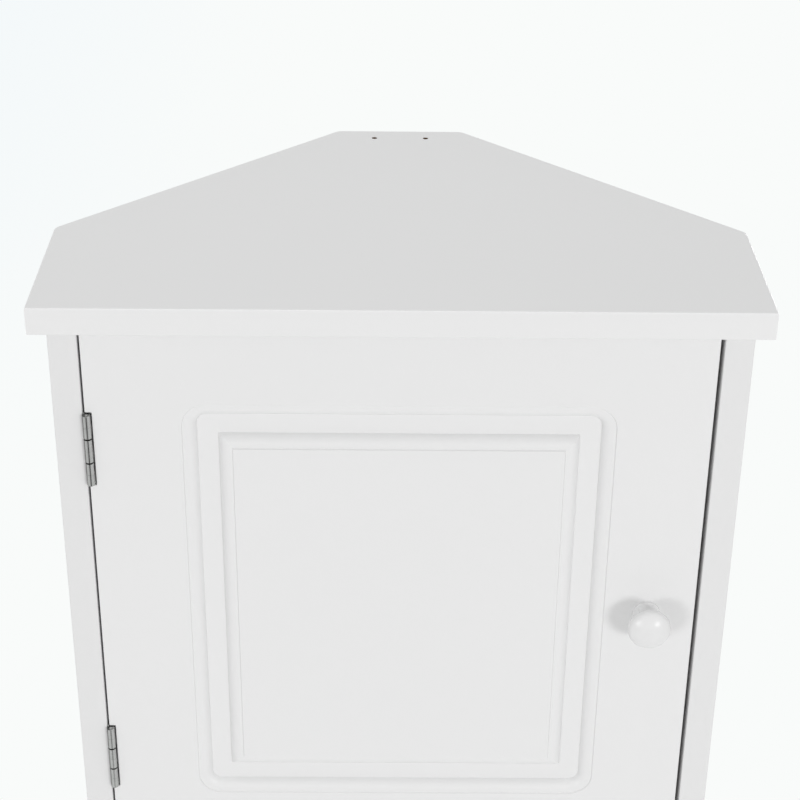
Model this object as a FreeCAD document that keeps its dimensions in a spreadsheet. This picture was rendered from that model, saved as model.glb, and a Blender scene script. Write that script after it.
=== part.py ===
import FreeCAD, Part
import math
import os
import re
import Sketcher

# Tall corner cabinet of painted board: an inset door above, an inset door below, open shelves between.
# x runs right, y back and z up, in mm, from the floor under the middle of the whole cabinet.
# Depths in plan are measured from the plane of the door faces, which lies at face_y.

doc = FreeCAD.newDocument("CornerCabinet")
KNUCKLES = 6

# Driving sizes in mm
SIZES = {
    # Plan and boards
    "top_width": 450,
    "side_edge": 120,
    "rear_edge": 90,
    "cabinet_height": 1600,
    "board": 18,
    "wall_panel": 9,
    "overhang": 10,
    "top_corner": 8,
    "edge_round": 0.8,
    "kick_height": 80,
    "door_opening": 412,
    # Plinth rail and floor glides
    "plinth_setback": 2,
    "arch_width": 240,
    "arch_rise": 26,
    "plinth_dowel_pitch": 32,
    "glide_height": 4,
    "glide_width": 16,
    "nail_width": 2,
    "nail_length": 12,
    # Pilot holes for a wall strap, in the top board
    "pilot_hole": 4,
    "pilot_depth": 12,
    "pilot_spacing": 37,
    "pilot_inset": 14,
    # Loose shelves and their pins
    "shelf_gap": 1,
    "shelf_setback": 3,
    "shelf_behind_door": 6,
    "pin_width": 5,
    "pin_depth": 8,
    "tab_length": 10,
    "tab_width": 8,
    "pin_inset": 30,
    "post_pin_inset": 25,
    "row_pitch": 32,
    # Fixed joints: cam nuts, cam bolts, dowels and screws, with the play of each in its hole
    "fit": 0.1,
    "cam_width": 15,
    "cam_depth": 12.5,
    "cam_setback": 24,
    "cam_slot": 2,
    "bolt_width": 6.5,
    "thread_width": 5,
    "thread_length": 11,
    "dowel_width": 8,
    "dowel_length": 30,
    "dowel_seat": 10,
    "dowel_chamfer": 1,
    "dowel_inset": 18,
    "post_dowel_inset": 9,
    "post_screw": 5,
    "post_screw_head": 9,
    "post_screw_bite": 32,
    "post_screw_inset": 12,
    "wall_screw": 3.5,
    "wall_screw_head": 7,
    "wall_screw_cover": 4.5,
    "wall_screw_end": 5,
    "wall_screw_inset": 60,
    "recess_width": 1,
    "recess_depth": 1,
    # Doors and their routed channel
    "door_thickness": 18,
    "door_gap": 1.4,
    "latch_gap": 2.7,
    "stile": 59.2,
    "rail": 51,
    "moulding": 9.2,
    "band": 13.4,
    "groove_depth": 6,
    "quirk_depth": 0.9,
    "quirk_width": 2,
    "quirk_slope": 0.6,
    # Knobs
    "knob_width": 28,
    "knob_dome": 7.5,
    "knob_rim_round": 4.5,
    "knob_neck": 12,
    "knob_flare": 2.4,
    "knob_stem": 10.4,
    "knob_base": 18,
    "knob_foot": 2.5,
    "knob_foot_round": 1,
    "knob_setback": 31.6,
    "knob_screw": 4,
    "knob_screw_reach": 10,
    "pan_head": 8,
    "pan_height": 2.4,
    # Butt hinges
    "hinge_length": 51,
    "hinge_inset": 83,
    "hinge_proud": 1.5,
    "barrel": 5,
    "hinge_pin": 2.4,
    "leaf": 1.2,
    "leaf_width": 15,
    "knuckle_rest": 0.1,
    "knuckle_gap": 1.1,
    "running_gap": 0.05,
    "leaf_relief": 0.4,
    "mortise_gap": 0.8,
    "barrel_relief": 0.8,
    "hinge_screw": 3,
    "hinge_screw_head": 5.4,
    "hinge_screw_bite": 12.8,
    "hinge_screw_pitch": 30,
    "hinge_screw_set": 9,
    # Magnetic catches
    "catch_wall": 2.5,
    "catch_length": 40,
    "catch_height": 15,
    "catch_rise": 100,
    "catch_screw": 3,
    "catch_screw_head": 5.5,
    "catch_screw_bite": 9,
    "catch_screw_pitch": 14,
    "magnet_width": 3,
    "magnet_height": 10,
    "magnet_length": 12,
    "magnet_proud": 0.5,
    "strike_air": 0.3,
    "strike_width": 12,
    "strike_height": 28,
    "strike_plate": 1.2,
    "strike_inset": 1,
    "strike_screw": 3,
    "strike_screw_head": 5.4,
    "strike_screw_bite": 9.8,
}

# Places worked out from the driving sizes
PLACES = {
    "half_top": "top_width / 2",
    "half_body": "half_top - overhang",
    "inner_half": "half_body - board",
    "half_rear": "rear_edge / 2",
    "plan_depth": "side_edge + half_top - half_rear",
    "back": "plan_depth - overhang",
    # A knob's outline: the radius where the cap's underside starts, the height of the cap's widest line,
    # the radius of the dome that meets the round of the rim smoothly, and the place of their join
    "knob_lip": "knob_neck / 2 + knob_flare",
    "knob_rim": "knob_foot + knob_stem + knob_width / 2 - knob_lip",
    "rim_centre": "knob_width / 2 - knob_rim_round",
    "dome_rise": "knob_dome - knob_rim_round",
    "dome_round": "(knob_dome ^ 2 + rim_centre ^ 2 - knob_rim_round ^ 2) / (2 * dome_rise)",
    "dome_share": "dome_round / (dome_round - knob_rim_round)",
    "join_radius": "dome_share * rim_centre",
    "join_height": "knob_rim + (dome_round - knob_dome) * (dome_share - 1)",
    "knob_projection": "knob_rim + knob_dome",
    "face_y": "(overhang + knob_projection - plan_depth) / 2",
    # x + y along the outer and inner faces of the wall panels
    "wall_out": "half_top + side_edge - overhang",
    "wall_in": "wall_out - wall_panel * sqrt(2)",
    "wall_length": "(half_body - half_rear) * sqrt(2)",
    "wall_screw_bite": "board * sqrt(2) - wall_panel - wall_screw_end - wall_screw_cover",
    "post_front": "back - board",
    "post_middle": "back - board / 2",
    "post_half": "wall_in - back",
    "post_inner_half": "wall_in - post_front",
    "post_dowel_x": "post_half + board / 2 - post_dowel_inset",
    "bevel_outer": "wall_in - half_body",
    "bevel_inner": "wall_in - inner_half",
    "panel_middle": "bevel_outer / 2",
    "panel_centre": "half_body - board / 2",
    "panel_top": "cabinet_height - board",
    "panel_length": "panel_top - glide_height",
    "lower_divider_z": "kick_height + board + door_opening",
    "upper_divider_z": "panel_top - door_opening - board",
    "tier": "(upper_divider_z - lower_divider_z - 3 * board) / 3",
    "bay_middle_z": "(upper_divider_z + lower_divider_z + board) / 2",
    "lower_door_z": "kick_height + board + door_opening / 2",
    "upper_door_z": "panel_top - door_opening / 2",
    "door_width": "2 * inner_half - door_gap - latch_gap",
    "door_height": "door_opening - 2 * door_gap",
    "door_x": "(door_gap - latch_gap) / 2",
    "latch_edge": "inner_half - latch_gap",
    "channel_half": "moulding + band / 2",
    "path_x": "door_width / 2 - stile - channel_half",
    "path_z": "door_height / 2 - rail - channel_half",
    "axis_x": "barrel / 2 - inner_half",
    "axis_y": "-hinge_proud",
    "knuckle": f"hinge_length / {KNUCKLES}",
    "knuckle_length": "knuckle - (knuckle_rest + knuckle_gap) / 2",
    "hinge_rise": "door_height / 2 - hinge_inset",
    "knob_x": "latch_edge - knob_setback",
    "strike_middle": "latch_edge - strike_inset - strike_width / 2",
    "catch_inner": "strike_middle - 1.5 * magnet_width - catch_wall",
    "catch_width": "inner_half - catch_inner",
    "catch_front": "door_thickness + strike_plate + strike_air",
}

UP = (0, 0, 1)
DOWN = (0, 0, -1)
BACKWARD = (0, 1, 0)
FORWARD = (0, -1, 0)
RIGHT = (1, 0, 0)

home = {}
nodes = {}
bores = {}
groups = {}


# Sheets, expressions and placing

def in_full(text):
    """An expression with each name in it written with its sheet."""
    return re.sub(r"[a-z_]\w*", lambda name: home.get(name[0], name[0]), str(text))


def fill_sheet(title, cells):
    """A sheet with one named cell for each entry."""
    table = doc.addObject("Spreadsheet::Sheet", title)
    for row, (alias, content) in enumerate(cells.items(), 1):
        table.set(f"A{row}", alias)
        table.set(f"B{row}", content)
        table.setAlias(f"B{row}", alias)
    doc.recompute()
    home.update({alias: f"{title}.{alias}" for alias in cells})
    return table


def number(text):
    """The value that an expression has now."""
    return float(sheet.evalExpression(in_full(text)))


def bind(item, **expressions):
    """Ties properties of an item to expressions."""
    for name, text in expressions.items():
        item.setExpression(name, in_full(text))
    return item


def place(item, at, rotation=FreeCAD.Rotation()):
    """Puts an item at a point given behind the plane of the door faces."""
    item.Placement = FreeCAD.Placement(FreeCAD.Vector(), rotation)
    for axis, text in zip("xyz", (at[0], f"face_y + {at[1]}", at[2])):
        item.setExpression(f"Placement.Base.{axis}", in_full(text))
    return item


def moved(at, towards, distance):
    """A point a distance away from another in a direction."""
    return tuple(f"{a} + {d} * ({distance})" if d else a for a, d in zip(at, towards))


def turn(towards):
    """The rotation that takes z to a direction."""
    return FreeCAD.Rotation(FreeCAD.Vector(*UP), FreeCAD.Vector(*towards))


sheet = fill_sheet("Sizes", {alias: str(size) for alias, size in SIZES.items()})
fill_sheet("Places", {alias: "=" + in_full(text) for alias, text in PLACES.items()})


# Solids

def rod(name, across, length, at, towards):
    """A round bar from a point in a direction."""
    bar = doc.addObject("Part::Cylinder", name)
    bind(bar, Radius=f"({across}) / 2", Height=length)
    return place(bar, at, turn(towards))


def taper(name, wide, narrow, length, at, towards):
    """A cone from its wide end at a point in a direction."""
    cone = doc.addObject("Part::Cone", name)
    bind(cone, Radius1=f"({wide}) / 2", Radius2=f"({narrow}) / 2", Height=length)
    return place(cone, at, turn(towards))


def block(name, length, width, height, at):
    """A box from its lowest left front corner."""
    box = doc.addObject("Part::Box", name)
    bind(box, Length=length, Width=width, Height=height)
    return place(box, at)


def fused(name, pieces):
    """One solid, or one tool, of several."""
    if len(pieces) == 1:
        return pieces[0]
    union = doc.addObject("Part::MultiFuse", name)
    union.Shapes = pieces
    return union


def cut(name, base, tools):
    """A solid less its tools."""
    result = doc.addObject("Part::Cut", name)
    result.Base = base
    result.Tool = fused(f"{name}_tools", tools)
    return result


def node(name, item):
    """Keeps a finished piece under its name."""
    item.Label = name
    nodes[name] = item
    return item


def profile(body, name, plane, outlines, lift="0"):
    """A sketch of closed outlines on a plane of a body, every corner tied to the sheets.

    A corner is (x, y) for a straight run to it, or (x, y, axis, centre) for an arc to it whose centre
    has that x or y.
    """
    sketch = body.newObject("Sketcher::SketchObject", name)
    support = next(f for f in body.Origin.OriginFeatures if f.Role == plane)
    sketch.AttachmentSupport = (support, [""])
    sketch.MapMode = "FlatFace"
    sketch.setExpression("AttachmentOffset.Base.z", in_full(lift))
    for corners in outlines:
        points = [(number(corner[0]), number(corner[1])) for corner in corners]
        first = sketch.GeometryCount
        ends = []
        for index, corner in enumerate(corners):
            start = points[index - 1]
            stop = points[index]
            if len(corner) == 2:
                line = Part.LineSegment(FreeCAD.Vector(*start, 0), FreeCAD.Vector(*stop, 0))
                sketch.addGeometry(line)
                ends.append((1, 2))
            else:
                ends.append(arc_to(sketch, start, stop, corner[2], number(corner[3])))
        count = len(corners)
        for index, corner in enumerate(corners):
            edge = first + index
            following = first + (index + 1) % count
            next_start = ends[(index + 1) % count][0]
            stop = ends[index][1]
            sketch.addConstraint(Sketcher.Constraint("Coincident", edge, stop, following, next_start))
            tie(sketch, "DistanceX", edge, stop, corner[0])
            tie(sketch, "DistanceY", edge, stop, corner[1])
            if len(corner) == 4:
                tie(sketch, "Distance" + corner[2].upper(), edge, 3, corner[3])
    return sketch


def arc_to(sketch, start, stop, axis, middle):
    """Adds the shorter arc between two points about a centre with a given x or y."""
    (x1, y1), (x2, y2) = start, stop
    if axis == "x":
        height = (y2 ** 2 - y1 ** 2 + (x2 - middle) ** 2 - (x1 - middle) ** 2) / (2 * (y2 - y1))
        centre = (middle, height)
    else:
        across = (x2 ** 2 - x1 ** 2 + (y2 - middle) ** 2 - (y1 - middle) ** 2) / (2 * (x2 - x1))
        centre = (across, middle)
    from_centre = [(x - centre[0], y - centre[1]) for x, y in (start, stop)]
    angles = [math.atan2(y, x) for x, y in from_centre]
    (ax, ay), (bx, by) = from_centre
    anticlockwise = ax * by - ay * bx > 0
    if not anticlockwise:
        angles.reverse()
    circle = Part.Circle(FreeCAD.Vector(*centre, 0), FreeCAD.Vector(*UP), math.hypot(ax, ay))
    sketch.addGeometry(Part.ArcOfCircle(circle, *angles))
    return (1, 2) if anticlockwise else (2, 1)


def tie(sketch, kind, edge, point, text):
    """Ties a point's distance from the sketch's origin to an expression."""
    constraint = Sketcher.Constraint(kind, -1, 1, edge, point, number(text))
    index = sketch.addConstraint(constraint)
    sketch.setExpression(f"Constraints[{index}]", in_full(text))


def pad(name, plane, outline, length, reverse=False):
    """A body padded from an outline on one of its planes."""
    body = doc.addObject("PartDesign::Body", f"{name}_blank")
    sketch = profile(body, f"{name}_outline", plane, [outline])
    feature = body.newObject("PartDesign::Pad", f"{name}_pad")
    feature.Profile = sketch
    feature.Reversed = reverse
    bind(feature, Length=length)
    body.Tip = feature
    return body


def rounded(body, radius, chosen):
    """Rounds the edges of a body so far that a test of the edge picks."""
    doc.recompute()
    base = body.Tip
    picked = [f"Edge{n}" for n, edge in enumerate(base.Shape.Edges, 1) if chosen(edge)]
    fillet = body.newObject("PartDesign::Fillet", f"{body.Name}_round")
    fillet.Base = (base, picked)
    bind(fillet, Radius=radius)
    body.Tip = fillet
    return body


def turned(name, corners):
    """A body turned about its own z from a half outline of (radius, z) corners."""
    body = doc.addObject("PartDesign::Body", name)
    sketch = profile(body, f"{name}_outline", "XZ_Plane", [corners])
    feature = body.newObject("PartDesign::Revolution", f"{name}_turning")
    feature.Profile = sketch
    feature.ReferenceAxis = (sketch, ["V_Axis"])
    feature.Angle = 360
    body.Tip = feature
    return body


def on_line(edge, axis, position):
    """Whether all of an edge lies at one position along an axis."""
    spots = [getattr(vertex.Point, axis) for vertex in edge.Vertexes]
    return all(abs(spot - position) < 0.01 for spot in spots)


def upright(edge):
    """Whether an edge runs along z."""
    return abs(edge.Vertexes[0].Z - edge.Vertexes[-1].Z) > 0.01


# Fasteners, each made once about its own origin and then copied to its places

def own_place(item, x="0", y="0", z="0"):
    """Sets an item's place in the frame of the fastener that it is part of."""
    for axis, text in zip("xyz", (x, y, z)):
        item.setExpression(f"Placement.Base.{axis}", in_full(text))
    return item


def own_rod(name, across, start, length, rotation=FreeCAD.Rotation()):
    """A round bar of a fastener along its own z, or turned about its start."""
    bar = doc.addObject("Part::Cylinder", name)
    bind(bar, Radius=f"({across}) / 2", Height=length)
    bar.Placement = FreeCAD.Placement(FreeCAD.Vector(), rotation)
    return own_place(bar, z=start)


def crossed(name, arm, width, depth, face):
    """Two crossed bars that sink a drive into a head whose face has a given z."""
    bars = []
    for half_x, half_y in ((f"({arm})", f"({width} / 2)"), (f"({width} / 2)", f"({arm})")):
        bar = doc.addObject("Part::Box", f"{name}_drive")
        bind(bar, Length=f"2 * {half_x}", Width=f"2 * {half_y}", Height=depth)
        bars.append(own_place(bar, f"-{half_x}", f"-{half_y}", face))
    return bars


def countersunk_screw(kind, clamped):
    """A countersunk screw along z from the flat of its head, through a thickness and its bite."""
    length = f"{clamped} + {kind}_bite"
    blank = turned(f"{kind}_blank", [
        ("0", "0"),
        (f"{kind}_head / 2", "0"),
        (f"{kind} / 2", f"({kind}_head - {kind}) / 2"),
        (f"{kind} / 2", length),
        ("0", length),
    ])
    drive = crossed(kind, "3 * recess_width / 2", "recess_width", "recess_depth", "0")
    return cut(f"{kind}_master", blank, drive)


# A cam nut's own z points into its board from the face it shows, its x towards its bolt
cam_bar = own_rod("cam_bar", "cam_width", "0", "cam_depth")
cam_mouth = own_rod("cam_mouth", "bolt_width + 2 * fit", "board / 2", "cam_width", turn(RIGHT))
cam_nut = cut("cam_nut", cam_bar, [cam_mouth] + crossed("cam", "cam_width / 3", "cam_slot", "cam_slot", "0"))

# A cam bolt's own z points out of the board that it is screwed into, towards its cam nut
cam_bolt = fused("cam_bolt", [
    own_rod("bolt_thread", "thread_width", "-thread_length", "thread_length"),
    own_rod("bolt_shank", "bolt_width", "0", "cam_setback - bolt_width / 2"),
])

# A dowel stands in its seat with its own z pointing out of it
dowel_end = "dowel_length - dowel_seat"
dowel = turned("dowel", [
    ("0", "-dowel_seat"),
    ("dowel_width / 2 - dowel_chamfer", "-dowel_seat"),
    ("dowel_width / 2", "dowel_chamfer - dowel_seat"),
    ("dowel_width / 2", f"{dowel_end} - dowel_chamfer"),
    ("dowel_width / 2 - dowel_chamfer", dowel_end),
    ("0", dowel_end),
])

# A shelf pin's own z points out of the panel, its x up, and its flat tab carries the shelf
pin_tab = doc.addObject("Part::Box", "pin_tab")
bind(pin_tab, Length="pin_width", Width="tab_width", Height="tab_length")
own_place(pin_tab, "-pin_width / 2", "-tab_width / 2")
shelf_pin = fused("shelf_pin", [own_rod("pin_stem", "pin_width", "-pin_depth", "pin_depth"), pin_tab])

# A glide's nail points up into the panel that stands on it
floor_glide = fused("floor_glide", [
    own_rod("glide_foot", "glide_width", "-glide_height", "glide_height"),
    own_rod("glide_nail", "nail_width", "0", "nail_length"),
])

# A knob's screw has a pan head behind the door, its own z pointing forward
knob_screw_end = "door_thickness + knob_screw_reach"
knob_bolt_blank = turned("knob_bolt_blank", [
    ("0", "-pan_height"),
    ("pan_head / 2 - pan_height / 2", "-pan_height"),
    ("pan_head / 2", "-pan_height / 2", "y", "-pan_height / 2"),
    ("pan_head / 2", "0"),
    ("knob_screw / 2", "0"),
    ("knob_screw / 2", knob_screw_end),
    ("0", knob_screw_end),
])
knob_drive = crossed("knob_bolt", "3 * recess_width / 2", "recess_width", "recess_depth", "-pan_height")
knob_bolt = cut("knob_bolt", knob_bolt_blank, knob_drive)

# What each kind of countersunk screw passes through before it bites
CLAMPED = {
    "post_screw": "board",
    "wall_screw": "wall_panel",
    "hinge_screw": "leaf",
    "catch_screw": "catch_width",
    "strike_screw": "strike_plate",
}
screws = {kind: countersunk_screw(kind, clamped) for kind, clamped in CLAMPED.items()}


# Joints: holes in both pieces, and a fastener in them

def bore(piece, across, length, at, towards):
    """A hole in a piece, with the play that its fastener has in it."""
    hole = rod(f"{piece}_bore", f"{across} + 2 * fit", length, at, towards)
    bores.setdefault(piece, []).append(hole)


def fasten(group, master, at, towards, across=None):
    """One more copy of a fastener in its group, its z and, if given, its x turned to directions."""
    copy = doc.addObject("App::Link", f"{group}_copy")
    copy.LinkedObject = master
    rotation = turn(towards)
    if across:
        forward = FreeCAD.Vector(*towards)
        sideways = FreeCAD.Vector(*across)
        rotation = FreeCAD.Rotation(sideways, forward.cross(sideways), forward, "ZXY")
    place(copy, at, rotation)
    groups.setdefault(group, []).append(copy)


def opposite(towards):
    """The direction back along another."""
    return tuple(-step for step in towards)


def screwed(kind, group, outer, inner, head, towards):
    """A countersunk screw through an outer piece into an inner one, from its head."""
    clamped = CLAMPED[kind]
    bore(outer, kind, clamped, head, towards)
    bore(inner, kind, f"{kind}_bite", moved(head, towards, clamped), towards)
    depth = f"({kind}_head - {kind}) / 2"
    for piece in (outer, inner):
        seat = taper(f"{piece}_seat", f"{kind}_head + 2 * fit", f"{kind} + 2 * fit", depth, head, towards)
        bores[piece].append(seat)
    fasten(group, screws[kind], head, towards)


def cam_joint(thread_piece, cam_piece, at, into, facing):
    """A bolt in one piece drawn into the edge of another by a cam nut bored in from a face."""
    cam_at = moved(moved(at, into, "cam_setback"), facing, "-board / 2")
    bore(thread_piece, "thread_width", "thread_length", at, opposite(into))
    bore(cam_piece, "bolt_width", "cam_setback", at, into)
    bore(cam_piece, "cam_width", "cam_depth", cam_at, facing)
    fasten("cam_bolts", cam_bolt, at, into)
    fasten("cam_nuts", cam_nut, cam_at, facing, opposite(into))


def dowel_joint(seat_piece, edge_piece, at, into):
    """A dowel between a seat in one piece and the edge of another."""
    bore(seat_piece, "dowel_width", "dowel_seat", at, opposite(into))
    bore(edge_piece, "dowel_width", dowel_end, at, into)
    fasten("wood_dowels", dowel, at, into)


def glide(piece, x, y):
    """A glide nailed up into the foot of a panel."""
    foot = (x, y, "glide_height")
    bore(piece, "nail_width", "nail_length", foot, UP)
    fasten("floor_glides", floor_glide, foot, UP)


def drilled(name, blank):
    """A piece with all the holes that its joints need."""
    return node(name, cut(f"{name}_drilled", blank, bores[name]))


# Boards of the carcass: side panels in front, wall panels at 45 degrees, a narrow post at the rear

SIDES = {-1: "left", 1: "right"}
FIXED = {
    "bottom_board": "kick_height",
    "lower_divider": "lower_divider_z",
    "upper_divider": "upper_divider_z",
}


def six_sided(half_width, front, side_back, half_rear, rear):
    """The outline of a board that fills the corner, from its front edge round to its rear edge."""
    return [
        (f"-({half_width})", front),
        (half_width, front),
        (half_width, side_back),
        (half_rear, rear),
        (f"-({half_rear})", rear),
        (f"-({half_width})", side_back),
    ]


blanks = {}
top_outline = six_sided("half_top", "-overhang", "side_edge - overhang", "half_rear", "back")
blanks["top_board"] = pad("top_board", "XY_Plane", top_outline, "board")
rounded(blanks["top_board"], "top_corner", lambda edge: upright(edge) and edge.Vertexes[0].Y > 0)
rounded(blanks["top_board"], "edge_round", lambda edge: not upright(edge))
place(blanks["top_board"], ("0", "0", "panel_top"))

for side, hand in SIDES.items():
    side_outline = [
        (f"{side} * inner_half", "0"),
        (f"{side} * half_body", "0"),
        (f"{side} * half_body", "bevel_outer"),
        (f"{side} * inner_half", "bevel_inner"),
    ]
    side_panel = pad(f"{hand}_side_panel", "XY_Plane", side_outline, "panel_length")
    rounded(side_panel, "edge_round", lambda edge: upright(edge) and on_line(edge, "y", 0))
    blanks[f"{hand}_side_panel"] = place(side_panel, ("0", "0", "glide_height"))

    # A wall panel's own x runs along the wall from the side panel to the rear, its ends cut at 45 degrees
    wall_outline = [
        ("0", "0"),
        ("wall_length", "0"),
        ("wall_length + wall_panel", f"{side} * wall_panel"),
        ("-wall_panel", f"{side} * wall_panel"),
    ]
    wall_panel = pad(f"{hand}_wall_panel", "XY_Plane", wall_outline, "panel_length")
    along_wall = FreeCAD.Rotation(FreeCAD.Vector(*UP), 90 + 45 * side)
    wall_corner = (f"{side} * half_body", "wall_out - half_body", "glide_height")
    blanks[f"{hand}_wall_panel"] = place(wall_panel, wall_corner, along_wall)

post_outline = [
    ("-post_half", "back"),
    ("post_half", "back"),
    ("post_inner_half", "post_front"),
    ("-post_inner_half", "post_front"),
]
rear_post = pad("rear_post", "XY_Plane", post_outline, "panel_length")
blanks["rear_post"] = place(rear_post, ("0", "0", "glide_height"))

fixed_outline = six_sided("inner_half", "0", "bevel_inner", "post_inner_half", "post_front")
for name, level in FIXED.items():
    fixed_board = pad(name, "XY_Plane", fixed_outline, "board")
    rounded(fixed_board, "edge_round", lambda edge: not upright(edge) and on_line(edge, "y", 0))
    blanks[name] = place(fixed_board, ("0", "0", level))

# The plinth rail closes the space under the bottom board, with a shallow arch in its lower edge
arch_centre = "arch_rise / 2 - arch_width ^ 2 / (8 * arch_rise)"
plinth_height = "kick_height - glide_height"
plinth_outline = [
    ("-inner_half", "0"),
    ("-arch_width / 2", "0"),
    ("arch_width / 2", "0", "y", arch_centre),
    ("inner_half", "0"),
    ("inner_half", plinth_height),
    ("-inner_half", plinth_height),
]
plinth_rail = pad("plinth_rail", "XZ_Plane", plinth_outline, "board", reverse=True)
blanks["plinth_rail"] = place(plinth_rail, ("0", "plinth_setback", "glide_height"))


# How the carcass is held together, and what it stands on

for side, hand in SIDES.items():
    panel = f"{hand}_side_panel"
    inward = (-side, 0, 0)
    outward = (side, 0, 0)
    face_x = f"{side} * inner_half"
    edge_x = f"{side} * panel_centre"
    dowel_ys = ("dowel_inset", "bevel_outer - dowel_inset")
    for name, level in FIXED.items():
        middle = f"{level} + board / 2"
        cam_joint(panel, name, (face_x, "panel_middle", middle), inward, UP)
        for y in dowel_ys:
            dowel_joint(panel, name, (face_x, y, middle), inward)
    cam_joint("top_board", panel, (edge_x, "panel_middle", "panel_top"), DOWN, outward)
    for y in dowel_ys:
        dowel_joint("top_board", panel, (edge_x, y, "panel_top"), DOWN)
        glide(panel, edge_x, y)
    for step in (-1, 1):
        level = f"(kick_height + glide_height) / 2 + {step} * plinth_dowel_pitch / 2"
        dowel_joint(panel, "plinth_rail", (face_x, "plinth_setback + board / 2", level), inward)

cam_joint("top_board", "rear_post", ("0", "post_middle", "panel_top"), DOWN, BACKWARD)
for step in (-1, 1):
    dowel_joint("top_board", "rear_post", (f"{step} * post_dowel_x", "post_middle", "panel_top"), DOWN)
    glide("rear_post", f"{step} * post_dowel_x", "post_middle")
    for name, level in FIXED.items():
        head = (f"{step} * (post_half - post_screw_inset)", "back", f"{level} + board / 2")
        screwed("post_screw", "post_screws", "rear_post", name, head, FORWARD)

DIAGONAL = math.sqrt(0.5)


def wall_screwed(side, piece, along, level):
    """A screw through a wall panel, a distance along the wall, into the edge of another piece."""
    inward = (-side * DIAGONAL, -DIAGONAL, 0)
    x = f"{side} * (half_body - {DIAGONAL} * ({along}))"
    y = f"wall_out - half_body + {DIAGONAL} * ({along})"
    screwed("wall_screw", "wall_panel_screws", f"{SIDES[side]}_wall_panel", piece, (x, y, level), inward)


for side, hand in SIDES.items():
    for name, level in FIXED.items():
        for along in ("wall_screw_inset", "wall_length - wall_screw_inset"):
            wall_screwed(side, name, along, f"{level} + board / 2")
    for level in ("lower_door_z", "bay_middle_z", "upper_door_z"):
        wall_screwed(side, f"{hand}_side_panel", "wall_screw_end", level)
        wall_screwed(side, "rear_post", "wall_length - wall_screw_end", level)


# Loose shelves on pins: one in each cupboard, where the pins have spare rows, and two in the open bay

def loose_shelf(name, level, front):
    """A shelf that drops in with a gap all round."""
    diagonal = "wall_in - shelf_gap * sqrt(2)"
    half = "inner_half - shelf_gap"
    rear = "post_front - shelf_gap"
    outline = six_sided(half, front, f"{diagonal} - ({half})", f"{diagonal} - ({rear})", rear)
    shelf = pad(name, "XY_Plane", outline, "board")
    front_y = number(front)
    rounded(shelf, "edge_round", lambda edge: not upright(edge) and on_line(edge, "y", front_y))
    node(name, place(shelf, ("0", "0", level)))


def shelf_pins(level, rows):
    """Six pins that carry a shelf at a level, with holes for them in this row and any spare ones."""
    axis = f"{level} - pin_width / 2"
    spots = []
    for side, hand in SIDES.items():
        for y in ("pin_inset", "bevel_outer - pin_inset"):
            spots.append((f"{hand}_side_panel", f"{side} * inner_half", y, (-side, 0, 0)))
    for step in (-1, 1):
        spots.append(("rear_post", f"{step} * (post_inner_half - post_pin_inset)", "post_front", FORWARD))
    for piece, x, y, out in spots:
        for row in rows:
            bore(piece, "pin_width", "pin_depth", (x, y, f"{axis} + {row} * row_pitch"), opposite(out))
        fasten("shelf_pins", shelf_pin, (x, y, axis), out, UP)


for name, level in (
    ("lower_open_shelf", "lower_divider_z + board + tier"),
    ("upper_open_shelf", "lower_divider_z + 2 * board + 2 * tier"),
):
    loose_shelf(name, level, "shelf_setback")
    shelf_pins(level, (0,))
for name, middle in (("lower_cupboard_shelf", "lower_door_z"), ("upper_cupboard_shelf", "upper_door_z")):
    level = f"{middle} - board / 2"
    loose_shelf(name, level, "door_thickness + shelf_behind_door")
    shelf_pins(level, (-1, 0, 1))


# Doors: a slab with a channel routed round a raised field, as a turning cutter leaves it

def cutter_flank(sign, centre, depth_first):
    """One flank of the cutter's section, from its flat bottom round and up to the face of the door."""
    crest = f"{centre} + {sign} * (channel_half - quirk_width)"
    rim = f"{centre} + {sign} * channel_half"
    corners = [
        (f"{centre} + {sign} * band / 2", "groove_depth"),
        (crest, "quirk_depth"),
        (f"{rim} - {sign} * quirk_slope", "quirk_depth"),
        (rim, "0"),
    ]
    if depth_first:
        return [(depth, across) for across, depth in corners], ("y", crest)
    return corners, ("x", crest)


def cutter_section(centre, depth_first):
    """The whole section of the channel about a line of the cutter's path."""
    rising, rising_arc = cutter_flank(1, centre, depth_first)
    falling, falling_arc = cutter_flank(-1, centre, depth_first)
    falling.reverse()
    rising[1] += rising_arc
    falling[3] += falling_arc
    return rising + falling


def channel(body, name, plane, path, length, depth_first):
    """Two parallel runs of the channel, on both sides of the door's middle."""
    sections = [cutter_section(f"{sign} * {path}", depth_first) for sign in (-1, 1)]
    sketch = profile(body, f"{name}_section", plane, sections)
    run = body.newObject("PartDesign::Pocket", name)
    run.Profile = sketch
    run.Midplane = True
    bind(run, Length=length)
    body.Tip = run


def channel_corner(body, name, across, lift):
    """The round corner that the cutter leaves where its path turns."""
    flank, arc = cutter_flank(1, across, False)
    flank[1] += arc
    section = [(across, "0"), (across, "groove_depth")] + flank
    sketch = profile(body, f"{name}_section", "XY_Plane", [section], lift)
    x = number(across)
    spindle = Part.LineSegment(FreeCAD.Vector(x, 0, 0), FreeCAD.Vector(x, number("groove_depth"), 0))
    line = sketch.addGeometry(spindle, True)
    for point, depth in ((1, "0"), (2, "groove_depth")):
        tie(sketch, "DistanceX", line, point, across)
        tie(sketch, "DistanceY", line, point, depth)
    groove = body.newObject("PartDesign::Groove", name)
    groove.Profile = sketch
    groove.ReferenceAxis = (sketch, ["Axis0"])
    groove.Angle = 360
    body.Tip = groove


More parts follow.
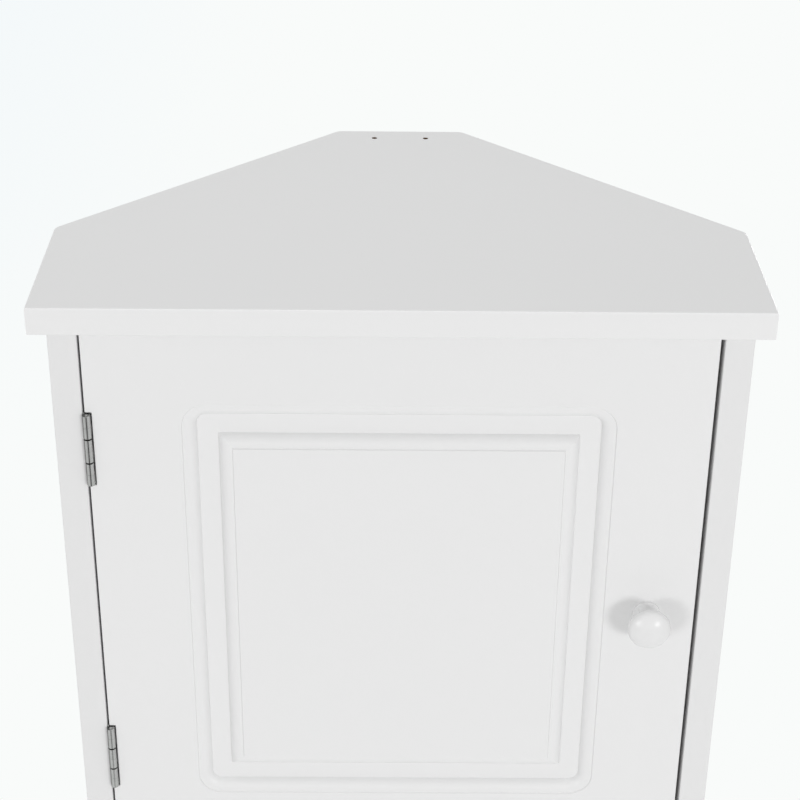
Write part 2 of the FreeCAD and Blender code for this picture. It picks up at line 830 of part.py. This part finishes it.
def door_blank(name, middle):
    """A door before its hinges, knob and strike plate are fitted."""
    half_width = "door_width / 2"
    half_height = "door_height / 2"
    outline = [
        (f"-{half_width}", f"-{half_height}"),
        (half_width, f"-{half_height}"),
        (half_width, half_height),
        (f"-{half_width}", half_height),
    ]
    body = pad(name, "XZ_Plane", outline, "door_thickness", reverse=True)
    rounded(body, "edge_round", lambda edge: on_line(edge, "y", 0))
    channel(body, f"{name}_rails", "YZ_Plane", "path_z", "2 * path_x", True)
    channel(body, f"{name}_stiles", "XY_Plane", "path_x", "2 * path_z", False)
    for sign_x in (-1, 1):
        for sign_z in (-1, 1):
            channel_corner(body, f"{name}_corner", f"{sign_x} * path_x", f"{sign_z} * path_z")
    return place(body, ("door_x", "0", middle))


# Butt hinges: knuckles by turns on the frame leaf and the door leaf, round one pin

def hinge_leaf(name, middle, side, first):
    """A leaf on the frame side (-1) or the door side (1) of the pin, with every second knuckle.

    A door knuckle rests on the frame knuckle below it, and stays clear of the one above.
    """
    foot = f"{middle} - hinge_length / 2"
    below = "knuckle_gap" if side < 0 else "knuckle_rest"
    plate_x = "axis_x - barrel / 2" if side < 0 else "axis_x + barrel / 2 - leaf"
    plate = block(f"{name}_plate", "leaf", "leaf_width", "hinge_length", (plate_x, "axis_y", foot))
    reliefs = []
    rings = []
    for count in range(KNUCKLES):
        level = f"{foot} + {count} * knuckle"
        if count % 2 == first:
            start = ("axis_x", "axis_y", f"{level} + {below} / 2")
            rings.append(rod(f"{name}_knuckle", "barrel", "knuckle_length", start, UP))
        else:
            corner = (plate_x, "axis_y", level)
            reliefs.append(block(f"{name}_relief", "leaf", "barrel / 2 + leaf_relief", "knuckle", corner))
    eye = rod(f"{name}_eye", "hinge_pin + 2 * running_gap", "hinge_length", ("axis_x", "axis_y", foot), UP)
    bores[name] = [eye]
    return fused(f"{name}_solid", [cut(f"{name}_comb", plate, reliefs)] + rings)


def hinge(floor, end, middle):
    """One hinge of a door: both leaves, their screws, the pin and the mortise in the door's edge.

    A shallow relief beside the mortise keeps the barrel clear of the door's face.
    """
    name = f"{floor}_{end}_hinge"
    foot = f"{middle} - hinge_length / 2"
    for side, kind, first, holder in ((-1, "frame", 0, "left_side_panel"), (1, "door", 1, f"{floor}_door")):
        leaf_name = f"{name}_{kind}_leaf"
        solid = hinge_leaf(leaf_name, middle, side, first)
        for step in (-1, 1):
            level = f"{middle} + {step} * hinge_screw_pitch / 2"
            head = (f"axis_x + {side} * (barrel / 2 - leaf)", "axis_y + hinge_screw_set", level)
            screwed("hinge_screw", f"{floor}_hinge_{kind}_screws", leaf_name, holder, head, (side, 0, 0))
        drilled(leaf_name, solid)
    node(f"{name}_pin", rod(f"{name}_pin", "hinge_pin", "hinge_length", ("axis_x", "axis_y", foot), UP))
    mortise = block(
        f"{name}_mortise",
        "barrel - door_gap",
        "leaf_width - hinge_proud + mortise_gap",
        "hinge_length + 2 * mortise_gap",
        ("door_gap - inner_half", "0", f"{foot} - mortise_gap"),
    )
    relief = block(
        f"{name}_relief",
        "barrel_relief",
        "barrel",
        "hinge_length + 2 * mortise_gap",
        ("barrel - inner_half", "0", f"{foot} - mortise_gap"),
    )
    bores[f"{floor}_door"] += [mortise, relief]


# Knobs: a domed cap on a waisted stem with a foot disc, drawn to the door by a screw from behind

def knob(floor, middle):
    """A knob and its screw, with the hole in the door."""
    name = f"{floor}_knob"
    shoulder = "knob_foot - knob_foot_round"
    waist = "knob_foot + knob_stem / 2"
    solid = turned(f"{name}_blank", [
        ("0", "0"),
        ("knob_base / 2", "0"),
        ("knob_base / 2", shoulder),
        ("knob_base / 2 - knob_foot_round", "knob_foot", "y", shoulder),
        ("knob_neck / 2", waist, "y", waist),
        ("knob_lip", "knob_foot + knob_stem", "y", waist),
        ("knob_width / 2", "knob_rim", "y", "knob_rim"),
        ("join_radius", "join_height", "y", "knob_rim"),
        ("0", "knob_projection", "x", "0"),
    ])
    seat = ("knob_x", "0", middle)
    place(solid, seat, turn(FORWARD))
    bore(name, "knob_screw", "knob_screw_reach", seat, FORWARD)
    drilled(name, solid)
    inside = moved(seat, BACKWARD, "door_thickness")
    bore(f"{floor}_door", "knob_screw", "door_thickness", inside, FORWARD)
    fasten(f"{floor}_knob_screw", knob_bolt, inside, FORWARD)


# Magnetic catches: a housing on the right side panel, a strike plate on the back of the door

def catch_housing(floor, level):
    """The housing, its two magnets side by side in the front and its two screws behind them."""
    name = f"{floor}_catch_housing"
    front = "catch_front + magnet_proud"
    corner = ("catch_inner", front, f"{level} - catch_height / 2")
    solid = block(f"{name}_blank", "catch_width", "catch_length", "catch_height", corner)
    magnets = []
    bores[name] = []
    for step in (-1, 1):
        x = f"strike_middle + {step} * magnet_width - magnet_width / 2"
        z = f"{level} - magnet_height / 2"
        sunk = "magnet_length - magnet_proud"
        pocket_corner = (f"{x} - fit", front, f"{z} - fit")
        sides = ("magnet_width + 2 * fit", sunk, "magnet_height + 2 * fit")
        bores[name].append(block(f"{name}_pocket", *sides, pocket_corner))
        magnet_sides = ("magnet_width", "magnet_length", "magnet_height")
        magnets.append(block(f"{floor}_magnet", *magnet_sides, (x, "catch_front", z)))
        y = f"{front} + magnet_length + (catch_length - magnet_length + {step} * catch_screw_pitch) / 2"
        head = ("catch_inner", y, level)
        screwed("catch_screw", f"{floor}_catch_screws", name, "right_side_panel", head, RIGHT)
    drilled(name, solid)
    pair = doc.addObject("Part::Compound", f"{floor}_magnets")
    pair.Links = magnets
    node(f"{floor}_catch_magnets", pair)


def strike_plate(floor, level):
    """The plate that the magnets pull on, with its screw below them."""
    name = f"{floor}_strike_plate"
    corner = ("strike_middle - strike_width / 2", "door_thickness", f"{level} - strike_height / 2")
    solid = block(f"{name}_blank", "strike_width", "strike_plate", "strike_height", corner)
    drop = "(strike_height + magnet_height) / 4"
    head = ("strike_middle", "door_thickness + strike_plate", f"{level} - {drop}")
    screwed("strike_screw", f"{floor}_strike_screw", name, f"{floor}_door", head, FORWARD)
    drilled(name, solid)


for floor, middle in (("upper", "upper_door_z"), ("lower", "lower_door_z")):
    blanks[f"{floor}_door"] = door_blank(f"{floor}_door", middle)
    hinge(floor, "top", f"{middle} + hinge_rise")
    hinge(floor, "bottom", f"{middle} - hinge_rise")
    knob(floor, middle)
    catch_housing(floor, f"{middle} + catch_rise")
    strike_plate(floor, f"{middle} + catch_rise")


# Finished pieces, with the two pilot holes near the rear of the top board

for step in (-1, 1):
    mouth = (f"{step} * pilot_spacing / 2", "back - pilot_inset", "cabinet_height")
    bores["top_board"].append(rod("top_board_pilot", "pilot_hole", "pilot_depth", mouth, DOWN))
for name, blank in blanks.items():
    drilled(name, blank)
for group, copies in groups.items():
    bundle = doc.addObject("Part::Compound", f"{group}_bundle")
    bundle.Links = copies
    node(group, bundle)


# Check and write

doc.recompute()
for item in doc.Objects:
    if "Invalid" in item.State or "Error" in item.State:
        raise RuntimeError(f"{item.Name} failed: {item.State}")
for name, item in nodes.items():
    if item.Shape.isNull() or not item.Shape.isValid() or not item.Shape.Solids:
        raise RuntimeError(f"{name} has no sound solid")
os.makedirs("parts", exist_ok=True)
for name, item in nodes.items():
    item.Shape.exportStep(f"parts/{name}.step")
    print(f"{name}: {len(item.Shape.Solids)} solid, {item.Shape.Volume / 1000:.2f} cm3")
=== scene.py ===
from math import cos, pi, radians, sin

import bmesh
import bpy
from mathutils import Euler, Matrix, Vector


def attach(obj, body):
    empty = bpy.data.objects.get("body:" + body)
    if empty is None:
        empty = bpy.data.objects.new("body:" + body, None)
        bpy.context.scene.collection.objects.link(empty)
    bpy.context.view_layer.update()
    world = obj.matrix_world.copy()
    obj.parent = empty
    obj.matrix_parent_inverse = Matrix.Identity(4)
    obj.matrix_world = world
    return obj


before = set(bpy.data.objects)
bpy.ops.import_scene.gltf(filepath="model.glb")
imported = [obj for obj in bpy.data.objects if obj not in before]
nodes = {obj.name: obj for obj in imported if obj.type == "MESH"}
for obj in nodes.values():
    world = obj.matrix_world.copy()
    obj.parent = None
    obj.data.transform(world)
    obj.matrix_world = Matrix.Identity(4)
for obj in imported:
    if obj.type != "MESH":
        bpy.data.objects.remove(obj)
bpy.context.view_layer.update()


# Camera: in front of the cabinet and well above it, looking down on the top board and the upper door.
# Its place, tilt and lens come from the corners of the top board and the upright edges of the sides.

eye = (-0.01075, -1.16369, 2.09879)
looks_down, looks_right, leans = 28.694, 0.567, 0.652

view = bpy.data.cameras.new("view")
view.sensor_width = 36
view.lens = 85.84
camera = bpy.data.objects.new("view", view)
aim = Euler((radians(90 - looks_down), 0, radians(-looks_right))).to_matrix()
roll = Euler((0, 0, radians(leans))).to_matrix()
camera.matrix_world = Matrix.Translation(eye) @ (aim @ roll).to_4x4()
bpy.context.collection.objects.link(camera)
bpy.context.scene.camera = camera


# Side panels, wall panels and rear post: fibreboard sawn to size, the front edges of the sides eased,
# sprayed white all over. The spray dries to a satin with a faint ripple and a few nibs of dust, and the
# sawn edges drink more of it, so they come out a shade darker and less smooth than the faces. The edges
# of the side panels are darker still, partly painted shade for the dimmer light at the cabinet's sides.

sideways, forwards, upwards = 0, 1, 2


class Shade:
    """A value in the nodes of a finish, which can be used in sums."""

    def __init__(self, tree, socket):
        self.tree = tree
        self.socket = socket

    def made(self, kind, settings, sockets, out=0):
        """Any other node: its settings, then the values or links of its sockets."""
        node = self.tree.nodes.new("ShaderNode" + kind)
        for name, value in settings.items():
            setattr(node, name, value)
        feed(node, sockets)
        return Shade(self.tree, node.outputs[out])

    def maths(self, operation, *terms):
        return self.made("Math", {"operation": operation}, dict(enumerate(terms)))

    def __add__(self, other):
        return self.maths("ADD", self, other)

    def __sub__(self, other):
        return self.maths("SUBTRACT", self, other)

    def __rsub__(self, other):
        return self.maths("SUBTRACT", other, self)

    def __mul__(self, other):
        return self.maths("MULTIPLY", self, other)

    __radd__ = __add__
    __rmul__ = __mul__

    def unsigned(self):
        return self.maths("ABSOLUTE", self)

    def part(self, axis):
        """One of the three numbers of a vector."""
        return self.made("SeparateXYZ", {}, {"Vector": self}, axis)

    def within(self, low, high):
        """A smooth step from 0 at one value to 1 at another."""
        settings = {"interpolation_type": "SMOOTHSTEP"}
        return self.made("MapRange", settings, {"Value": self, "From Min": low, "From Max": high})

    def between(self, low, high):
        """A colour this share of the way from one to another."""
        return self.made("Mix", {"data_type": "RGBA"}, {"Factor": self, 6: low, 7: high}, 2)

    def noise(self, per_metre, detail=2.0, stretch=(1, 1, 1)):
        """Soft noise over these coordinates, so many lumps to the metre."""
        scaled = self.made("VectorMath", {"operation": "MULTIPLY"}, {0: self, 1: stretch})
        return self.made("TexNoise", {}, {"Vector": scaled, "Scale": per_metre, "Detail": detail})

    def raised(self):
        """The normal of a surface with these heights, in metres."""
        return self.made("Bump", {}, {"Height": self, "Distance": 1.0})


def feed(node, sockets):
    """Sets or links the sockets of a node."""
    for name, value in sockets.items():
        if isinstance(value, Shade):
            value.tree.links.new(value.socket, node.inputs[name])
        else:
            node.inputs[name].default_value = value


def finish(name):
    """A new finish: its material, its coordinates in metres, and its surface shader."""
    material = bpy.data.materials.new(name)
    material.use_nodes = True
    tree = material.node_tree
    place = tree.nodes.new("ShaderNodeTexCoord")
    return material, Shade(tree, place.outputs["Object"]), tree.nodes["Principled BSDF"]


def grey(level):
    return (level, level, level, 1)


def dress(material, *names):
    """Gives pieces of the frame their finish."""
    for name in names:
        nodes[name].data.materials.clear()
        nodes[name].data.materials.append(material)


def sprayed(name, edge_white, across=None, white=0.80, patchy=0.004):
    """Satin paint on board whose faces lie across an axis, or are the upright ones if none is given."""
    material, spot, surface = finish(name)
    facing = spot.made("TexCoord", {}, {}, "Normal").part(upwards if across is None else across)
    face = facing.unsigned().within(0.3, 0.8)
    if across is None:
        face = 1 - face
    cloud = spot.noise(6)
    ripple = spot.noise(330, 1.0)
    fibre = spot.noise(1900, 3.0)
    nib = 1 - spot.made("TexVoronoi", {}, {"Vector": spot, "Scale": 12}).within(0.0, 0.005)
    ripple_height, nib_height = 0.00004, 0.00005
    fibre_height = 0.00002 - 0.00001 * face
    faces = cloud.between(grey(white - patchy), grey(white + patchy))
    feed(surface, {
        "Base Color": face.between(grey(edge_white), faces),
        "Roughness": 0.42 + 0.1 * fibre - 0.05 * face,
        "Normal": (ripple_height * ripple + fibre_height * fibre + nib_height * nib).raised(),
    })
    return material


# painted shade in part: the side panels' edges are darker than the other boards' edges, partly paint soaked
# into sawn edges, partly shade for the dimmer light at the cabinet's sides
side_paint_and_shade = sprayed("side_paint_and_shade", edge_white=0.766, across=sideways)
wall_panel_paint = sprayed("wall_panel_paint", edge_white=0.785, white=0.795, patchy=0.012)
dress(side_paint_and_shade, "left_side_panel", "right_side_panel")
dress(wall_panel_paint, "left_wall_panel", "right_wall_panel", "rear_post")


# Bottom board, dividers and plinth rail: the same board between the side panels, held by cams and dowels.
# The plinth rail stands on edge with a shallow arch sawn out of it.

board_paint = sprayed("board_paint", edge_white=0.785, across=upwards)
plinth_paint = sprayed("plinth_paint", edge_white=0.785, across=forwards)
dress(board_paint, "bottom_board", "lower_divider", "upper_divider")
dress(plinth_paint, "plinth_rail")


# Dowels: turned from beech with bevelled ends, and glued a third of their length into the face of one board
# and the rest into the edge of the next, so that none shows. Fine streaks and dark flecks run along them.

pale_beech, ruddy_beech = (0.62, 0.45, 0.28, 1), (0.50, 0.33, 0.18, 1)
fleck_brown = (0.36, 0.22, 0.11, 1)

beech, spot, surface = finish("turned_beech")
streak = spot.noise(900, 3.0, (1, 1, 0.12))
fleck = spot.noise(2600, 2.0).within(0.6, 0.72)
feed(surface, {
    "Base Color": fleck.between(streak.between(ruddy_beech, pale_beech), fleck_brown),
    "Roughness": 0.6 + 0.15 * streak,
    "Normal": (0.00006 * streak).raised(),
})
dress(beech, "wood_dowels")


# Cam nuts: zinc, die cast, with a dull grained skin. They show in the undersides of the boards and inside
# the cupboards at the top.

dull_zinc, clean_zinc = (0.42, 0.42, 0.43, 1), (0.54, 0.54, 0.55, 1)

casting, spot, surface = finish("die_cast_zinc")
grain = spot.noise(2400, 3.0)
stain = spot.noise(180, 2.0)
feed(surface, {
    "Base Color": stain.between(dull_zinc, clean_zinc),
    "Metallic": 1.0,
    "Roughness": 0.4 + 0.2 * grain,
    "Normal": (0.00004 * grain).raised(),
})
dress(casting, "cam_nuts")


# Cam bolts, shelf pins and all the screws that aren't on the hinges: steel with a bright zinc plate that has
# a faint blue cast and fine turning marks.

blue_plate, bright_plate = (0.55, 0.56, 0.58, 1), (0.64, 0.64, 0.63, 1)

plate, spot, surface = finish("zinc_plate")
turned = spot.noise(1500, 2.0, (1, 1, 6))
tint = spot.noise(240, 1.0)
feed(surface, {
    "Base Color": tint.between(blue_plate, bright_plate),
    "Metallic": 1.0,
    "Roughness": 0.26 + 0.16 * turned,
    "Normal": (0.00001 * turned).raised(),
})
dress(plate, "cam_bolts", "post_screws", "wall_panel_screws", "shelf_pins")
cupboards = ("upper", "lower")
for cupboard in cupboards:
    dress(plate, f"{cupboard}_knob_screw", f"{cupboard}_catch_screws", f"{cupboard}_strike_screw")


# Floor glides: discs of pale nylon moulded on a nail, knocked up into the feet of the upright boards.
# Their skin is finely dimpled and a little scuffed.

scuffed_nylon, clean_nylon = (0.70, 0.70, 0.69, 1), (0.78, 0.78, 0.77, 1)

nylon, spot, surface = finish("moulded_nylon")
dimple = spot.noise(3000, 2.0)
scuff = spot.noise(400, 3.0, (1, 6, 1))
feed(surface, {
    "Base Color": scuff.between(scuffed_nylon, clean_nylon),
    "Roughness": 0.45 + 0.15 * dimple,
    "Normal": (0.00003 * dimple).raised(),
})
dress(nylon, "floor_glides")


# Top board: board with all its edges eased, cut to six sides and sprayed like the rest. Near its rear edge
# are two pilot holes, and bare brown fibre shows inside them.

top_z = 1.6
face_y = -0.132
pilot_y = face_y + 0.276
pilot_x = 0.0185
dark_fibre, light_fibre = (0.16, 0.10, 0.06, 1), (0.34, 0.23, 0.14, 1)

# painted light: the top board's sawn edges are as light as its faces, lighter than the other boards' edges,
# for the light on its front edge
dress(sprayed("top_paint_and_light", edge_white=0.80, across=upwards), "top_board")

bare_fibre, spot, surface = finish("bare_fibreboard")
tuft = spot.noise(2200, 4.0)
feed(surface, {
    "Base Color": tuft.between(dark_fibre, light_fibre),
    "Roughness": 0.85 + 0.1 * tuft,
    "Normal": (0.0001 * tuft).raised(),
})


def lining(name, mouths, across, depth):
    """Thin cups of bare fibre just inside blind holes, each given by its mouth and the way into the board."""
    sides = 32
    inner = across / 2 - 0.00012
    outer = inner + 0.00008
    rim = 0.0003
    corner = 0.0003
    floor_inside, floor_outside = depth - 0.0002, depth - 0.0001
    outline = (
        (inner - corner, floor_inside),
        (inner, floor_inside - corner),
        (inner, rim),
        (outer, rim),
        (outer, floor_outside - corner),
        (outer - corner, floor_outside),
    )
    angles = [2 * pi * n / sides for n in range(sides)]
    mesh = bpy.data.meshes.new(name)
    form = bmesh.new()
    for mouth, inward in mouths:
        turn = Vector((0, 0, 1)).rotation_difference(inward).to_matrix()
        rings = []
        for radius, sunk in outline:
            ring = [Vector((radius * cos(angle), radius * sin(angle), sunk)) for angle in angles]
            rings.append([form.verts.new(Vector(mouth) + turn @ point) for point in ring])
        for near, far in zip(rings, rings[1:]):
            for n in range(sides):
                m = (n + 1) % sides
                form.faces.new((near[n], near[m], far[m], far[n]))
        form.faces.new(rings[0])
        form.faces.new(rings[-1])
    bmesh.ops.recalc_face_normals(form, faces=form.faces)
    form.to_mesh(mesh)
    form.free()
    piece = bpy.data.objects.new(name, mesh)
    bpy.context.collection.objects.link(piece)
    mesh.materials.append(bare_fibre)
    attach(piece, "carcass")


pilot_holes = [((x, pilot_y, top_z), Vector((0, 0, -1))) for x in (-pilot_x, pilot_x)]
lining("pilot_hole_walls", pilot_holes, across=0.0039, depth=0.012)


# Loose shelves: sprayed board, laid on steel pins. The cupboards have a spare row of pin holes above and
# below each shelf, two in each side panel and two in the rear post, with bare fibre inside them too.

shelf_pin_heights = (0.2925, 1.3645)
row_pitch = 0.032
inner_half = 0.197
side_pins_back = (0.030, 0.077272)
post_pin_x, post_pin_back = 0.025272, 0.272

dress(board_paint, "lower_open_shelf", "upper_open_shelf", "lower_cupboard_shelf", "upper_cupboard_shelf")
spare_holes = []
for pin_z in shelf_pin_heights:
    for z in (pin_z - row_pitch, pin_z + row_pitch):
        for side in (-1, 1):
            for back in side_pins_back:
                spare_holes.append(((side * inner_half, face_y + back, z), Vector((side, 0, 0))))
            spare_holes.append(((side * post_pin_x, face_y + post_pin_back, z), Vector((0, 1, 0))))
lining("spare_pin_hole_walls", spare_holes, across=0.0051, depth=0.008)


# Doors: a slab of fibreboard with a channel routed round a raised field and its front edges eased, sprayed
# on both faces. Each shuts between the side panels, flush with their front edges.

dress(sprayed("door_paint", edge_white=0.79, across=forwards), "upper_door", "lower_door")


# Butt hinges: steel leaves with rolled knuckles round a pin, bright nickel plated. The frame leaf is screwed
# to the side panel, the door leaf into a mortise in the edge of the door. Painted shade: the pin and the
# faces inside the joints of the barrel are painted near black, and a dark line is painted where the barrel
# meets the side panel.

pin_x, pin_y = -0.1945, -0.1335
hazy_nickel, clear_nickel = (0.42, 0.42, 0.415, 1), (0.52, 0.52, 0.515, 1)
# colours of the painted shade in the crease and in the joints of the barrel
crease_shade_nickel = (0.14, 0.14, 0.136, 1)
joint_shade_black = (0.02, 0.019, 0.018, 1)

nickel, spot, surface = finish("nickel_plate")
brushed = spot.noise(2600, 2.0, (1, 1, 0.06))
haze = spot.noise(300, 2.0)
aside = spot.part(sideways) - pin_x
ahead = spot.part(forwards) - pin_y
# painted shade: a dull dark strip on the barrel where it meets the side panel
crease_shade = (0 - aside).within(0.0013, 0.0022) * (0 - ahead).within(-0.002, -0.001)
along = spot.made("TexCoord", {}, {}, "Generated").part(upwards)
not_an_end = along.within(0.05, 0.1) * (1 - along.within(0.9, 0.95))
# painted shade: near black on the pin and on the knuckle faces inside the joints, but not at the ends of the
# barrel
out_of_joint = (aside * aside + ahead * ahead).within(0.0000050, 0.0000058)
joint_shade = not_an_end * (1 - out_of_joint)
plated = crease_shade.between(haze.between(hazy_nickel, clear_nickel), crease_shade_nickel)
feed(surface, {
    "Base Color": joint_shade.between(plated, joint_shade_black),
    "Metallic": 1.0 - 0.9 * joint_shade,
    "Roughness": 0.12 + 0.12 * brushed + 0.2 * crease_shade + 0.3 * joint_shade,
    "Normal": (0.000006 * brushed).raised(),
})
for cupboard in cupboards:
    dress(nickel, f"{cupboard}_hinge_frame_screws", f"{cupboard}_hinge_door_screws")
    for end in ("top", "bottom"):
        hinge = f"{cupboard}_{end}_hinge"
        dress(nickel, f"{hinge}_frame_leaf", f"{hinge}_door_leaf", f"{hinge}_pin")


# Knobs: a foot, a neck and a domed cap turned from one piece of wood, under white lacquer that flows out
# nearly smooth. Each is drawn to its door by a screw from behind.

lacquer, spot, surface = finish("white_lacquer")
flow = spot.noise(260, 1.0)
dust = spot.noise(2400, 2.0)
feed(surface, {
    "Base Color": spot.noise(40).between(grey(0.775), grey(0.785)),
    "Roughness": 0.2 + 0.06 * dust,
    "Specular IOR Level": 0.22,
    "Normal": (0.00003 * flow).raised(),
})
dress(lacquer, "upper_knob", "lower_knob")


# Magnetic catches: a moulded housing screwed to the right side panel, two ferrite blocks in it, and a steel
# strike plate on the back of the door.

grey_moulding, white_moulding = (0.75, 0.75, 0.73, 1), (0.79, 0.79, 0.77, 1)
dark_ferrite, light_ferrite = (0.035, 0.035, 0.037, 1), (0.085, 0.085, 0.09, 1)
dull_steel, bright_steel = (0.50, 0.50, 0.51, 1), (0.60, 0.60, 0.60, 1)

housing, spot, surface = finish("moulded_housing")
spark = spot.noise(3200, 2.0)
feed(surface, {
    "Base Color": spot.noise(60).between(grey_moulding, white_moulding),
    "Roughness": 0.4 + 0.14 * spark,
    "Normal": (0.00004 * spark).raised(),
})
ferrite, spot, surface = finish("ground_ferrite")
pits = spot.noise(2800, 4.0)
feed(surface, {
    "Base Color": pits.between(dark_ferrite, light_ferrite),
    "Roughness": 0.42 + 0.25 * pits,
    "Normal": (0.00006 * pits).raised(),
})
strip, spot, surface = finish("rolled_steel")
rolling = spot.noise(2000, 2.0, (1, 1, 0.05))
feed(surface, {
    "Base Color": spot.noise(150).between(dull_steel, bright_steel),
    "Metallic": 1.0,
    "Roughness": 0.28 + 0.2 * rolling,
    "Normal": (0.00001 * rolling).raised(),
})
for cupboard in cupboards:
    dress(housing, f"{cupboard}_catch_housing")
    dress(ferrite, f"{cupboard}_catch_magnets")
    dress(strip, f"{cupboard}_strike_plate")


# Studio: a pale floor that runs up to white all round, so that the picture's ground is white while the
# cabinet keeps its shadow. Bright metal mirrors that white. Painted reflection: in reflections only, the
# floor in front turns grey, with a black patch standing in for the camera's stand.
# The room is bright all round, with light boxes at both sides, over the top board and behind the cabinet.

paper_white, cool_white = (0.947, 0.965, 0.956, 1), (0.905, 0.942, 0.956, 1)
# colours of the painted reflection of the floor in front
reflected_far_grey, reflected_stand_black = grey(0.64), grey(0.06)
paths = ("Is Camera Ray", "Is Glossy Ray", "Is Transmission Ray")

bpy.ops.mesh.primitive_plane_add(size=60)
floor = bpy.context.object
floor.name = "floor"
pale, spot, surface = finish("pale_floor")
feed(surface, {
    "Base Color": spot.noise(3).between(grey(0.86), grey(0.9)),
    "Roughness": 0.7 + 0.2 * spot.noise(90),
})
straight, mirrored, through = (spot.made("LightPath", {}, {}, path) for path in paths)
rightward, rearward = spot.part(sideways), spot.part(forwards)
frontward = 0 - rearward
away = spot.made("VectorMath", {"operation": "LENGTH"}, {0: spot}, "Value").within(0.7, 1.3)
behind = rearward.within(1.6, 4.0) * (1 - rearward.within(7.0, 14.0))
bluish = behind * (0 - rightward).within(0.2, 1.6)
ground = bluish.between(paper_white, cool_white)
# painted reflection: the floor far in front is grey, seen only in reflections
reflected_far_floor = (mirrored * frontward.within(1.9, 2.7)).between(ground, reflected_far_grey)
# painted reflection: a black patch in front, seen only in reflections, for the camera's stand
beside_reflected_stand = (rightward - 0.1).unsigned().within(0.4, 0.8)
reflected_stand = frontward.within(1.4, 1.9) * (1 - beside_reflected_stand)
seen = (mirrored * reflected_stand).between(reflected_far_floor, reflected_stand_black)
glow = spot.made("Emission", {}, {"Color": seen, "Strength": 1.0})
lit = Shade(spot.tree, surface.outputs[0])
share = (0.45 + 0.55 * away) * (straight + mirrored + through)
both = spot.made("MixShader", {}, {0: share, 1: lit, 2: glow})
feed(spot.tree.nodes["Material Output"], {"Surface": both})
floor.data.materials.append(pale)

room = bpy.data.worlds.new("room")
room.use_nodes = True
bpy.context.scene.world = room
ambient = room.node_tree.nodes["Background"]
feed(ambient, {"Color": grey(1), "Strength": 0.6})
air = Shade(room.node_tree, ambient.outputs[0])
straight, mirrored, through = (air.made("LightPath", {}, {}, path) for path in paths)
paper = air.made("Background", {}, {"Color": paper_white, "Strength": 1.0})
both = air.made("MixShader", {}, {0: straight + mirrored + through, 1: air, 2: paper})
feed(air.tree.nodes["World Output"], {"Surface": both})

middle = Vector((0, -0.13, 1.35))


def lamp(name, azimuth, elevation, distance, size, watts):
    """A soft box turned to the upper door, out of the camera's sight."""
    across, up = radians(azimuth), radians(elevation)
    light = bpy.data.lights.new(name, "AREA")
    light.shape = "RECTANGLE"
    light.size, light.size_y = size
    light.energy = watts
    box = bpy.data.objects.new(name, light)
    box.location = middle + distance * Vector((sin(across) * cos(up), -cos(across) * cos(up), sin(up)))
    box.rotation_euler = (middle - box.location).to_track_quat("-Z", "Y").to_euler()
    bpy.context.collection.objects.link(box)
    box.visible_camera = False


lamp("right_box", azimuth=33, elevation=7, distance=2.6, size=(0.6, 0.6), watts=17.8)
lamp("left_box", azimuth=-33, elevation=7, distance=2.6, size=(0.6, 0.6), watts=13.3)
lamp("over_box", azimuth=250, elevation=86, distance=1.5, size=(0.5, 0.3), watts=3.5)
lamp("rear_box", azimuth=150, elevation=-8, distance=2.6, size=(0.8, 0.8), watts=14.0)

bpy.context.scene.view_settings.view_transform = "Standard"
